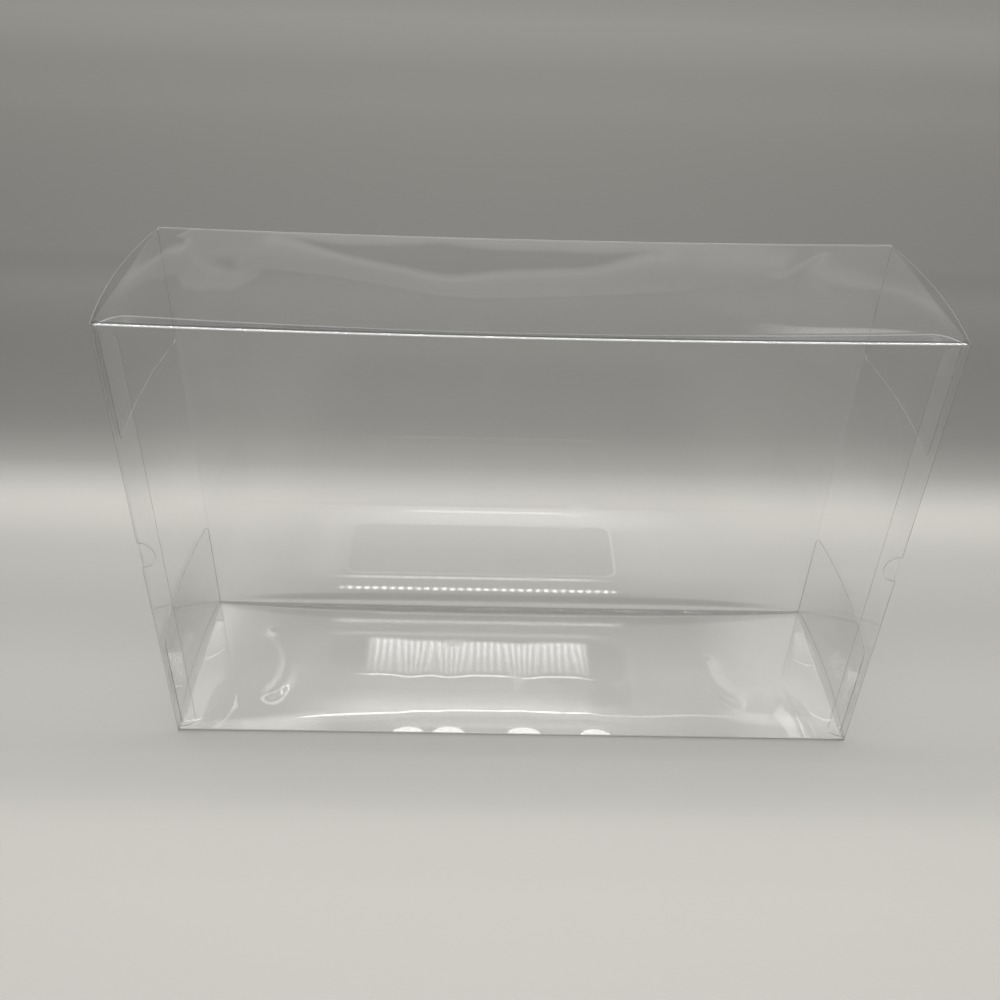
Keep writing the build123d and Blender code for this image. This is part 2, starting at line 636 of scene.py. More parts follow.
    def add_dust_flaps(self, sheet: FilmSheet) -> None:
        """Folds a dust flap in from each end of the top and bottom panels."""
        sheet.cut(0, (-self.flap_x, self.flap_x))
        sheet.cut(1, (self.flap_front, self.flap_back))
        for panel, inward in ((self.top, -1), (self.base, 1)):
            sheet.pick(
                Part.FACE,
                lambda co: at(co.z, panel)
                and between(abs(co.x), self.flap_x, self.panel_end)
                and between(co.y, self.flap_front, self.flap_back),
            )
            bpy.ops.mesh.delete(type="FACE")
            start = panel
            for reach in (self.flap_root, self.flap_reach):
                sheet.fold_out(
                    lambda co: at(co.z, start)
                    and at(abs(co.x), self.flap_x)
                    and between(co.y, self.flap_front, self.flap_back),
                    (0, 0, panel + inward * reach - start),
                )
                start = panel + inward * reach
            sheet.round_corners(
                lambda co: at(co.z, panel + inward * self.flap_reach)
                and at(abs(co.x), self.flap_x)
                and (at(co.y, self.flap_front) or at(co.y, self.flap_back)),
                self.flap_corner,
            )

    def crease(self, sheet: FilmSheet) -> None:
        """Rounds the strip's four folds and the roots of the dust flaps."""
        for y, z, surface in (
            (self.back, self.top, Surface.CREASE),
            (self.back, self.base, Surface.FILM),
            # The front foot's crease is painted dark, a painted shade line where the film meets the
            # table
            (self.front, self.base, Surface.FOOT_CREASE),
            (self.front, self.lap, Surface.CREASE),
        ):
            sheet.crease(lambda co: at(co.y, y) and at(co.z, z), surface)
        for z in (self.top, self.base):
            sheet.crease(
                lambda co: at(co.z, z)
                and at(abs(co.x), self.flap_x)
                and between(co.y, self.flap_front, self.flap_back),
                Surface.HINGE,
            )

    def buckle(self, co: Vector, ridges: list[tuple[Ridge, list[Vector]]]) -> Vector:
        """How far the top panel's ridges lift the film.

        Args:
            co: A place on the flat-sided carton.
            ridges: The ridges with their smooth lines.

        Returns:
            The way that the film has moved there.
        """
        if not at(co.z, self.top) or not between(co.y, self.top_front, self.back):
            return Vector((0, 0, 0))
        front_fade, back_fade = self.ridge_fades
        edge = ease(self.back - co.y, 0.0, back_fade)
        edge *= ease(co.y - self.top_front, 0.0, front_fade)
        place = Vector((co.x, co.y))
        return Vector((0, 0, edge * sum(ridge.rise(line, place) for ridge, line in ridges)))

    def dip(self, co: Vector) -> Vector:
        """How the top panel sinks behind its front crease, and buckles from there to the back.

        Args:
            co: A place on the flat-sided carton.

        Returns:
            The way that the film has moved there.
        """
        high = at(co.z, self.top) or (at(co.z, self.lap) and co.y > self.top_front)
        if not high or not between(co.y, self.top_front, self.back):
            return Vector((0, 0, 0))
        along = co.x / self.dip_reach
        deepest = -self.dip_depth * max(1 - along * along, 0.0)
        if co.y <= self.glue_edge:
            return Vector((0, 0, deepest * ease(co.y, self.front, self.glue_edge)))
        knots = self.column(co.x)
        height = 0.0
        for (near, near_slope), (far, far_slope) in reversed(list(zip(knots, knots[1:]))):
            low = max(co.y, near)
            if low < far:
                share = (low - near) / (far - near)
                slope = near_slope + (far_slope - near_slope) * share
                height -= (slope + far_slope) / 2 * (far - low)
        first = knots[0][0]
        if co.y < first:
            share = (first - co.y) / (first - self.glue_edge)
            height += (deepest - height) * share
        return Vector((0, 0, height))

    def column(self, x: float) -> list[tuple[float, float]]:
        """The top panel's slopes at a place along the width.

        Args:
            x: The place.

        Returns:
            How far back each slope is, and the slope, from front to back.
        """
        place = min(max(x / MM, TOP_COLUMNS[0][0]), TOP_COLUMNS[-1][0])
        left_fade, right_fade = self.dip_fades
        fade = ease(self.dip_reach - x, 0.0, right_fade)
        fade *= ease(x + self.dip_reach, 0.0, left_fade)
        for (left, left_knots), (right, right_knots) in zip(TOP_COLUMNS, TOP_COLUMNS[1:]):
            if place <= right:
                share = (place - left) / (right - left)
                return [
                    ((y0 + (y1 - y0) * share) * MM, (s0 + (s1 - s0) * share) * fade / 1000)
                    for (y0, s0), (y1, s1) in zip(left_knots, right_knots)
                ]
        return []

    def ruffle(self, co: Vector, dents: list[tuple[Ridge, list[Vector]]]) -> Vector:
        """How the bottom panel waves along its front edge and is dented near its ends.

        Args:
            co: A place on the flat-sided carton.
            dents: The dents with their smooth lines.

        Returns:
            The way that the film has moved there.
        """
        if not at(co.z, self.base) or not between(co.y, self.front, self.back):
            return Vector((0, 0, 0))
        from_front = co.y - self.front
        rise = self.wave_height(co.x) * ease(from_front, 0, self.wave_reach)
        rise *= 1 - ease(from_front, *self.wave_fade)
        lobe = 1 - math.exp(-from_front / self.lobe_reach)
        lobe *= 1 - ease(from_front, *self.lobe_fade)
        for place, width in self.front_lobes:
            rise += self.lobe_height * swell((co.x - place) / width) * lobe
        place = Vector((co.x, co.y))
        rise += sum(dent.rise(line, place) for dent, line in dents)
        return Vector((0, 0, rise))

    @staticmethod
    def wave_height(x: float) -> float:
        """How high the bottom panel's front wave is at a place along the width."""
        for (left, low), (right, high) in zip(FRONT_WAVE, FRONT_WAVE[1:]):
            if x / MM <= right:
                return MM * (low + (high - low) * (x / MM - left) / (right - left))
        return 0.0

    def foot_place(self, co: Vector) -> float:
        """How far round the back foot's bend a place is: 0 where it starts up the back, 1 below."""
        size = self.foot_weight(co)
        rise = (co.z - self.base) / (self.foot_rise * size)
        run = (self.back - co.y) / (self.foot_run * size)
        if rise > 0.01 and run > 0.2:
            return math.inf
        return 0.5 + 0.5 * (run - rise)

    def foot_weight(self, co: Vector) -> float:
        """How wide the back foot's bend is along the width: 1 in the middle."""
        return 1 - self.foot_taper * min(abs(co.x / self.panel_end), 1.0) ** 3

    def round_foot(self, co: Vector) -> Vector:
        """How far the back panel's foot has sprung out of a sharp fold, between its ends.

        Args:
            co: A place on the flat-sided carton.

        Returns:
            The way that the film has moved there.
        """
        turn = self.foot_place(co)
        if not 0 < turn < 1:
            return Vector((0, 0, 0))
        size = self.foot_weight(co)
        run = self.foot_run * size * (turn + self.foot_bulge * (turn**2 - turn))
        left = 1 - turn
        rise = self.foot_rise * size * (left + self.foot_bulge * (left**2 - left))
        return Vector((co.x, self.back - run, self.base + rise)) - co

    def foot_painted_shade(self, co: Vector) -> float:
        """How much painted shade the back foot's bend gets at a place. The upper band fades where the
        bend narrows.
        """
        turn = self.foot_place(co)
        if math.isinf(turn):
            return 0.0
        upper, *others = [band.strength(turn) for band in FOOT_BANDS]
        return upper * ease(self.foot_weight(co), 0.35, 0.8) + sum(others)

    def bend(self, co: Vector) -> Vector:
        """How far the film has sprung out of flat.

        Args:
            co: A place on the flat-sided carton.

        Returns:
            The way that the film has moved there.
        """
        move = Vector((0, 0, 0))
        along = co.x / self.half_width
        low_flap = co.z < self.base + self.flap_reach + SAME_PLACE
        high_flap = co.z > self.top - self.flap_reach - SAME_PLACE
        on_flap = abs(abs(co.x) - self.flap_x) < SAME_PLACE and between(
            co.y, self.flap_front, self.flap_back
        )
        if on_flap and (low_flap or high_flap):
            from_panel = min(co.z - self.base, self.top - co.z)
            spring = (from_panel - self.flap_root) / (self.flap_reach - self.flap_root)
            middle = (self.flap_front + self.flap_back) / 2
            share = (co.y - middle) / ((self.flap_back - self.flap_front) / 2)
            move.x += math.copysign(self.flap_bow, co.x) * max(spring, 0) * (1 - share * share)
            return move
        sag = -self.sag_depth * (1 - along * along)
        height = (co.z - self.base) / (self.top - self.base)
        move.z += sag * ease(height, 0.5, 1.0)
        return move


@dataclass
class EndLid:
    """An end lid, which turns on the back panel's end crease, and its tuck flap."""

    side: Side
    hinge_x: float = 179.75 * MM
    hinge_y: float = 52.5 * MM
    front: float = -51.8 * MM
    low: float = 0.8 * MM
    high: float = 239.2 * MM
    tuck: float = 10 * MM
    tuck_lean: float = 0.48 * MM
    tuck_gap: float = 1.5 * MM
    tuck_corner: float = 7.5 * MM
    fold_slack: float = 0.6 * MM
    top_bow: float = 4.5 * MM
    foot_bow: float = 3.4 * MM

    def build(self, materials: dict[Surface, bpy.types.Material]) -> bpy.types.Object:
        """Folds the lid up and dresses it.

        Args:
            materials: The finish of each kind of surface.

        Returns:
            The finished piece.
        """
        name = self.side.name.lower()
        x = self.side.value * self.hinge_x
        sheet = FilmSheet(f"{name}_lid_film")
        sheet.lay(Vector((x, self.front, self.low)), Vector((x, self.hinge_y, self.high)))
        sheet.dress(materials)
        sheet.cut(2, (self.low + self.tuck_gap, self.high - self.tuck_gap))
        sheet.fold_out(
            lambda co: at(co.y, self.front)
            and between(co.z, self.low + self.tuck_gap, self.high - self.tuck_gap),
            (-self.side.value * self.tuck, self.tuck_lean, 0),
        )
        sheet.round_corners(
            lambda co: at(co.y, self.front + self.tuck_lean)
            and (at(co.z, self.low + self.tuck_gap) or at(co.z, self.high - self.tuck_gap)),
            self.tuck_corner,
        )
        sheet.crease(lambda co: at(co.y, self.front) and at(co.x, x), Surface.HINGE)
        sheet.cut_grid(1, self.front + 2 * MM, self.hinge_y - 0.8 * MM)
        sheet.cut_grid(2, self.low + 3 * MM, self.high - 3 * MM, coarse=1.6)
        sheet.mark(lambda co: co.y > self.hinge_y - 1 * MM, Surface.HINGE)
        sheet.bow(self.bend)
        sheet.thicken()
        sheet.finish()
        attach(sheet.shape, f"{name}_lid")
        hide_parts(f"{name}_lid")
        return sheet.shape

    def bend(self, co: Vector) -> Vector:
        """How far the lid bows out between its two folds.

        Args:
            co: A place on the flat lid.

        Returns:
            The way that the film has moved there.
        """
        middle = (self.front + self.hinge_y) / 2
        share = (co.y - middle) / ((self.hinge_y - self.front) / 2)
        height = (co.z - self.low) / (self.high - self.low)
        bow = self.foot_bow + (self.top_bow - self.foot_bow) * height
        on_lid = abs(co.x) > self.hinge_x - self.fold_slack
        return Vector((self.side.value * bow * max(1 - share * share, 0) * on_lid, 0, 0))


def maths(
    tree: bpy.types.NodeTree,
    operation: str,
    *values: bpy.types.NodeSocket | float,
) -> bpy.types.NodeSocket:
    """Adds one Math node.

    Args:
        tree: The tree that it goes in.
        operation: What it works out.
        values: Its inputs, each a socket or a number.

    Returns:
        Its output.
    """
    node = tree.nodes.new("ShaderNodeMath")
    node.operation = operation
    for socket, value in zip(node.inputs, values):
        if isinstance(value, bpy.types.NodeSocket):
            tree.links.new(value, socket)
        else:
            socket.default_value = value
    return node.outputs["Value"]


def vector_maths(
    tree: bpy.types.NodeTree,
    operation: str,
    *values: bpy.types.NodeSocket | tuple[float, float, float],
) -> bpy.types.ShaderNode:
    """Adds one Vector Math node.

    Args:
        tree: The tree that it goes in.
        operation: What it works out.
        values: Its inputs, each a socket or a vector.

    Returns:
        The node.
    """
    node = tree.nodes.new("ShaderNodeVectorMath")
    node.operation = operation
    for socket, value in zip(node.inputs, values):
        if isinstance(value, bpy.types.NodeSocket):
            tree.links.new(value, socket)
        else:
            socket.default_value = value
    return node


@dataclass(frozen=True)
class FilmFinish:
    """Clear polyester film: what it mirrors, how hazy it is and how much shows of it.

    Attributes:
        name: The material's name.
        veil: The share of light that the film itself scatters, on top of what it mirrors.
        tone: The colour of what it scatters.
        roughness: How blurred its mirror is.
        metallic: How much of it mirrors rather than scatters.
        rubbed: How strongly rub marks show.
        ior: The film's index of refraction.
        painted_shade_veil: How much more of it shows where the painted shade is strongest.
        shade_mirror_loss: How fast the painted shade takes away the film's mirror, as against how fast
            it darkens.
        shadow: How much of it shows to a lamp.
    """

    name: str
    veil: float
    tone: tuple[float, float, float]
    roughness: float
    metallic: float
    rubbed: float
    ior: float = 1.4
    painted_shade_veil: float = 0.22
    shade_mirror_loss: float = 4.0
    shadow: float = 0.35

    def build(self, marks: bpy.types.NodeTree) -> bpy.types.Material:
        """Makes the material.

        Args:
            marks: The node group of handling marks.

        Returns:
            The material.
        """
        material = bpy.data.materials.new(self.name)
        material.use_nodes = True
        tree = material.node_tree
        nodes, links = tree.nodes, tree.links
        shader = nodes["Principled BSDF"]
        shader.inputs["Metallic"].default_value = self.metallic

        handled = nodes.new("ShaderNodeGroup")
        handled.node_tree = marks
        place = nodes.new("ShaderNodeTexCoord")
        links.new(place.outputs["Object"], handled.inputs["Place"])

        side = nodes.new("ShaderNodeNewGeometry")
        turned = maths(tree, "MULTIPLY_ADD", side.outputs["Backfacing"], -2.0, 1.0)
        index = maths(tree, "POWER", self.ior, turned)
        mirrored = nodes.new("ShaderNodeFresnel")
        links.new(index, mirrored.inputs["IOR"])

        # Painted shade at the folds: the attribute darkens the film's colour, which dims its mirror, and
        # adds to its alpha
        painted_shade = nodes.new("ShaderNodeAttribute")
        painted_shade.attribute_name = PAINTED_SHADE
        colour = nodes.new("ShaderNodeMix")
        colour.data_type = "RGBA"
        colour.inputs["A"].default_value = (*self.tone, 1)
        colour.inputs["B"].default_value = PAINTED_SHADE_TONE
        shade_mirror_loss = maths(tree, "MULTIPLY", painted_shade.outputs["Fac"], self.shade_mirror_loss)
        links.new(shade_mirror_loss, colour.inputs["Factor"])
        links.new(colour.outputs["Result"], shader.inputs["Base Color"])

        rub = maths(tree, "MULTIPLY_ADD", handled.outputs["Rub"], self.rubbed, self.veil)
        veil = maths(tree, "MULTIPLY_ADD", painted_shade.outputs["Fac"], self.painted_shade_veil, rub)
        shown = maths(tree, "ADD", mirrored.outputs["Fac"], veil)
        lit = nodes.new("ShaderNodeLightPath").outputs["Is Shadow Ray"]
        dim = maths(tree, "MULTIPLY_ADD", lit, self.shadow - 1, 1.0)
        alpha = maths(tree, "MULTIPLY", maths(tree, "MINIMUM", shown, 1.0), dim)
        links.new(alpha, shader.inputs["Alpha"])
        blur = maths(tree, "MULTIPLY_ADD", handled.outputs["Rub"], 0.25, self.roughness)
        links.new(blur, shader.inputs["Roughness"])
        return material


@dataclass(frozen=True)
class HandlingMarks:
    """What handling leaves on film: soft rub marks."""

    rub_scale: float = 22.0
    rub_detail: float = 2.0
    rub_low: float = 0.62
    rub_high: float = 0.80

    def build(self) -> bpy.types.NodeTree:
        """Makes the node group that every film material uses."""
        group = bpy.data.node_groups.new("handling_marks", "ShaderNodeTree")
        group.interface.new_socket("Place", in_out="INPUT", socket_type="NodeSocketVector")
        group.interface.new_socket("Rub", in_out="OUTPUT", socket_type="NodeSocketFloat")
        nodes, links = group.nodes, group.links
        given = nodes.new("NodeGroupInput")
        result = nodes.new("NodeGroupOutput")

        patches = nodes.new("ShaderNodeTexNoise")
        patches.inputs["Scale"].default_value = self.rub_scale
        patches.inputs["Detail"].default_value = self.rub_detail
        patches.inputs["Roughness"].default_value = 0.7
        links.new(given.outputs["Place"], patches.inputs["Vector"])
        worn = nodes.new("ShaderNodeMapRange")
        worn.inputs["From Min"].default_value = self.rub_low
        worn.inputs["From Max"].default_value = self.rub_high
        links.new(patches.outputs["Fac"], worn.inputs["Value"])
        links.new(worn.outputs["Result"], result.inputs["Rub"])
        return group


@dataclass(frozen=True)
class SoftPatch:
    """A soft-edged patch of light.

    Attributes:
        centre: Its middle, in the plane of the panel that it lies on.
        half: Half its width and depth, to where its light has fallen by half.
        soft: How far its edges fade, across and along.
        glow: How bright it is beside white paper.
        spread: How much of the fade is used, up to a half. Less is crisper.
        bars: How many bars it is broken into across its width.
        bar_depth: How dark the gaps between the bars are.
        slant: How much brighter its far edge is than its middle, below zero for its near edge.
        far: How far off film must be to mirror it.
    """

    centre: tuple[float, float]
    half: tuple[float, float]
    soft: tuple[float, float]
    glow: float
    spread: float = 0.5
    bars: int = 0
    bar_depth: float = 0.0
    slant: float = 0.0
    far: float = 0.0

    def light(
        self, tree: bpy.types.NodeTree, mask: bpy.types.NodeTree, place: bpy.types.NodeSocket
    ) -> bpy.types.NodeSocket:
        """Adds the patch to a material.

        Args:
            tree: The material's tree.
            mask: The node group that draws a soft patch.
            place: Where on the panel a point is.

        Returns:
            Its light there.
        """
        node = tree.nodes.new("ShaderNodeGroup")
        node.node_tree = mask
        tree.links.new(place, node.inputs["Place"])
        node.inputs["Centre"].default_value = (*self.centre, 0)
        node.inputs["Half"].default_value = (*self.half, 1)
        node.inputs["Soft"].default_value = (*self.soft, 1)
        node.inputs["Spread"].default_value = self.spread
        shown = maths(tree, "MULTIPLY", node.outputs["Mask"], self.glow)
        parts = tree.nodes.new("ShaderNodeSeparateXYZ")
        tree.links.new(place, parts.inputs["Vector"])
        if self.bars:
            pace = math.pi * self.bars / self.half[0]
            turn = maths(tree, "MULTIPLY_ADD", parts.outputs["X"], pace, -pace * self.centre[0])
            wave = maths(tree, "COSINE", turn)
            share = maths(tree, "MULTIPLY_ADD", wave, self.bar_depth / 2, 1 - self.bar_depth / 2)
            shown = maths(tree, "MULTIPLY", shown, share)
        if self.slant:
            pace = self.slant / self.half[1]
            share = maths(tree, "MULTIPLY_ADD", parts.outputs["Y"], pace, 1 - pace * self.centre[1])
            shown = maths(tree, "MULTIPLY", shown, maths(tree, "MAXIMUM", share, 0.0))
        if self.far:
            length = tree.nodes.new("ShaderNodeLightPath").outputs["Ray Length"]
            shown = maths(tree, "MULTIPLY", shown, maths(tree, "GREATER_THAN", length, self.far))
        return shown


def soft_patch_group() -> bpy.types.NodeTree:
    """Makes the node group that draws a soft rounded rectangle."""
    group = bpy.data.node_groups.new("soft_patch", "ShaderNodeTree")
    for name in ("Place", "Centre", "Half", "Soft"):
        group.interface.new_socket(name, in_out="INPUT", socket_type="NodeSocketVector")
    group.interface.new_socket("Spread", in_out="INPUT", socket_type="NodeSocketFloat")
    group.interface.new_socket("Mask", in_out="OUTPUT", socket_type="NodeSocketFloat")
    given = group.nodes.new("NodeGroupInput").outputs
    result = group.nodes.new("NodeGroupOutput")
    away = vector_maths(group, "SUBTRACT", given["Place"], given["Centre"]).outputs["Vector"]
    flat = vector_maths(group, "MULTIPLY", away, (1, 1, 0)).outputs["Vector"]
    size = vector_maths(group, "ABSOLUTE", flat).outputs["Vector"]
    inner = vector_maths(group, "MULTIPLY_ADD", given["Soft"], (-0.5, -0.5, -0.5), given["Half"])
    past = vector_maths(group, "SUBTRACT", size, inner.outputs["Vector"]).outputs["Vector"]
    share = vector_maths(group, "DIVIDE", past, given["Soft"]).outputs["Vector"]
    over = vector_maths(group, "MAXIMUM", share, (0, 0, 0)).outputs["Vector"]
    far = vector_maths(group, "LENGTH", over).outputs["Value"]
    fade = group.nodes.new("ShaderNodeMapRange")
    fade.interpolation_type = "SMOOTHSTEP"
    fade.inputs["To Min"].default_value = 1
    fade.inputs["To Max"].default_value = 0
    group.links.new(far, fade.inputs["Value"])
    group.links.new(maths(group, "SUBTRACT", 0.5, given["Spread"]), fade.inputs["From Min"])
    group.links.new(maths(group, "ADD", 0.5, given["Spread"]), fade.inputs["From Max"])
    group.links.new(fade.outputs["Result"], result.inputs["Mask"])
    return group


@dataclass(frozen=True)
class MirroredPanel:
    """A flat panel of soft lights that only the film's mirror shows.

    Attributes:
        name: The panel's name.
        low: Its corner with the lowest X and Y.
        high: The opposite corner.
        height: Its height.
        base: Its light between the patches.
        patches: The patches of light on it.
        hole: A patch where the others' light is missing.
        adds: Whether its light adds to what lies under it.
    """

    name: str
    low: tuple[float, float]
    high: tuple[float, float]
    height: float
    base: float
    patches: tuple[SoftPatch, ...]
    hole: SoftPatch | None = None
    adds: bool = False

    def build(self, mask: bpy.types.NodeTree) -> bpy.types.Object:
        """Adds the panel.

        Args:
            mask: The node group that draws a soft patch.

        Returns:
            The panel.
        """
        clear_selection()
        bpy.ops.mesh.primitive_plane_add(size=1)
        panel = bpy.context.object
        panel.name = self.name
        size = Vector(self.high) - Vector(self.low)
        middle = (Vector(self.high) + Vector(self.low)) / 2
        bpy.ops.transform.resize(value=(size.x, size.y, 1))
        bpy.ops.transform.translate(value=(middle.x, middle.y, self.height))
        bpy.ops.object.transform_apply(location=True, rotation=True, scale=True)
        material = bpy.data.materials.new(self.name)
        material.use_nodes = True
        tree = material.node_tree
        nodes, links = tree.nodes, tree.links
        nodes.remove(nodes["Principled BSDF"])
        place = nodes.new("ShaderNodeTexCoord").outputs["Object"]
        total: bpy.types.NodeSocket | float = 0.0
        for patch in self.patches:
            total = maths(tree, "ADD", patch.light(tree, mask, place), total)
        if self.hole:
            left = maths(tree, "SUBTRACT", 1.0, self.hole.light(tree, mask, place))
            total = maths(tree, "MULTIPLY", total, left)
        total = maths(tree, "ADD", total, self.base)
        emission = nodes.new("ShaderNodeEmission")
        links.new(total, emission.inputs["Color"])
        shown = emission.outputs["Emission"]
        if self.adds:
            clear = nodes.new("ShaderNodeBsdfTransparent")
            both = nodes.new("ShaderNodeAddShader")
            links.new(shown, both.inputs[0])
            links.new(clear.outputs["BSDF"], both.inputs[1])
            shown = both.outputs["Shader"]
        links.new(shown, nodes["Material Output"].inputs["Surface"])
        panel.data.materials.append(material)
        panel.visible_camera = False
        panel.visible_diffuse = False
        panel.visible_shadow = False
        panel.visible_transmission = False
        return panel


# What the bottom panel mirrors: a comb of lamps with a bright rim, a wide glow down to a bright
# line, a band that only the front edge's ripples reach, and a glow at each end
CEILING = MirroredPanel(
    "mirrored_ceiling",
    low=(-0.9, -0.7),
    high=(0.9, 1.0),
    height=0.8,
    base=0.30,
    patches=(
        SoftPatch(
            (-0.0185, 0.839), (0.183, 0.043), (0.024, 0.010), 3.6, 0.5, 32, 0.5, slant=0.55, far=1.1
        ),
        SoftPatch((-0.02, 0.787), (0.185, 0.0012), (0.05, 0.0016), 8.0, far=1.07),
        SoftPatch((-0.049, 0.7225), (0.21, 0.033), (0.14, 0.006), 1.1, slant=-1.0, far=1.05),
        SoftPatch((-0.049, 0.745), (0.18, 0.045), (0.14, 0.06), 0.9, far=1.05),
        SoftPatch((-0.049, 0.680), (0.26, 0.007), (0.14, 0.010), 0.8, far=1.05),
        SoftPatch((-0.07, 0.6865), (0.215, 0.0012), (0.06, 0.0016), 15.0, far=1.05),
        SoftPatch((0.25, 0.6865), (0.12, 0.0014), (0.1, 0.003), 3.0, far=1.05),
        SoftPatch((0.0, 0.628), (0.26, 0.021), (0.02, 0.003), 6.5, far=1.0),
        SoftPatch((-0.47, 0.674), (0.20, 0.018), (0.10, 0.020), 2.4, far=1.0),
        SoftPatch((0.52, 0.690), (0.14, 0.012), (0.08, 0.012), 1.4, far=1.0),
        SoftPatch((-0.62, 0.96), (0.22, 0.12), (0.14, 0.15), 1.0, far=1.0),
        SoftPatch((-0.65, 0.80), (0.21, 0.16), (0.06, 0.10), 1.2, far=1.0),
        SoftPatch((0.70, 0.80), (0.30, 0.20), (0.14, 0.12), 1.2, far=1.0),
        SoftPatch((0.0, -0.06), (0.78, 0.66), (0.25, 0.08), 1.3),
    ),
)

# What the back panel mirrors: a glow round a dark window, a bright rim and a dotted line
FLOOR = MirroredPanel(
    "mirrored_floor",
    low=(-0.17, -0.0515),
    high=(0.17, 0.045),
    height=-0.2 * MM,
    base=0.0,
    patches=(
        SoftPatch((-0.008, -0.040), (0.09, 0.012), (0.12, 0.02), 1.7),
        SoftPatch((-0.008, -0.0458), (0.060, 0.0006), (0.03, 0.001), 4.0),
        SoftPatch((0.10, -0.005), (0.04, 0.03), (0.08, 0.05), 0.7),
        SoftPatch((-0.118, -0.005), (0.012, 0.03), (0.03, 0.03), 0.6),
        SoftPatch((-0.018, -0.0042), (0.0875, 0.0270), (0.014, 0.014), 0.8, 0.03),
        SoftPatch((-0.0255, 0.0262), (0.080, 0.0009), (0.03, 0.0014), 3.8),
        SoftPatch((-0.0205, 0.0372), (0.0865, 0.0011), (0.012, 0.0016), 12.0, 0.5, 32, 0.85),
    ),
    hole=SoftPatch((-0.019, -0.0045), (0.0865, 0.0260), (0.014, 0.014), 1.0, 0.03),
    adds=True,
)

# The table's tone from front to back, with light and shade painted in: a painted shadow round the
# carton, a painted band of light behind it, and painted shade further back that lightens again far off;
# how far back, and how pale
TABLE_PAINTED_LIGHT_AND_SHADE = (
    (-0.20, 0.505),
    (-0.115, 0.495),
    (-0.085, 0.435),
    (-0.06, 0.418),
    (-0.01, 0.418),
    (0.045, 0.382),
    (0.08, 0.402),
    (0.11, 0.424),
    (0.155, 0.505),
    (0.180, 0.430),
    (0.205, 0.306),
    (0.25, 0.212),
    (0.32, 0.186),
    (0.42, 0.192),
    (0.50, 0.226),
    (0.60, 0.236),
    (1.10, 0.365),
    (1.45, 0.465),
    (1.80, 0.60),
)

# What the film mirrors of the room: the sine of the elevation, and how bright it is there
AHEAD_TONES = (
    (0.0, 0.24),
    (0.3903, 0.24),
    (0.3911, 0.78),
    (0.3964, 0.46),
    (0.4067, 0.38),
    (0.4155, 0.40),
    (0.4163, 0.24),
    (0.4300, 0.28),
    (0.70, 0.28),
    (0.80, 1.0),
)
ASIDE_TONES = (
    (0.0, 0.36),
    (0.3795, 0.36),
    (0.3891, 0.46),
    (0.3971, 0.54),
    (0.4067, 0.42),
    (0.4163, 0.36),
    (0.70, 0.36),
    (0.80, 1.0),
)


